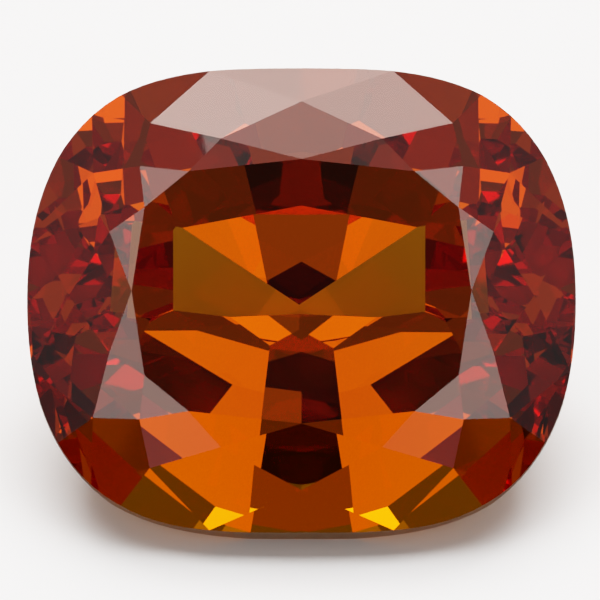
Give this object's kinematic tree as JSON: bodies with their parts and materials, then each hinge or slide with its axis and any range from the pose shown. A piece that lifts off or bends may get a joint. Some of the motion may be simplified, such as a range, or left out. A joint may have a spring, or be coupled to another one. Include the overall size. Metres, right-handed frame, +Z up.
{
  "type": "cushion-cut zircon gemstone",
  "caption": "Loose faceted cushion-shaped gemstone of orange-brown zircon: flat table, stepped ring of crown facets, thin girdle and keeled pavilion.",
  "frame": {"origin": "middle of the bounding box on plan, at the level of the surface that the stone rests on", "axes": "+X along the length of the cushion; +Z up; the table leans towards -Y, because the stone rests on the front main facet of its pavilion"},
  "size_m": [0.012, 0.0082, 0.0077],
  "materials": {
    "zircon": "polished"
  },
  "bodies": {
    "root": {"zircon": "zircon"}
  },
  "joints": []
}
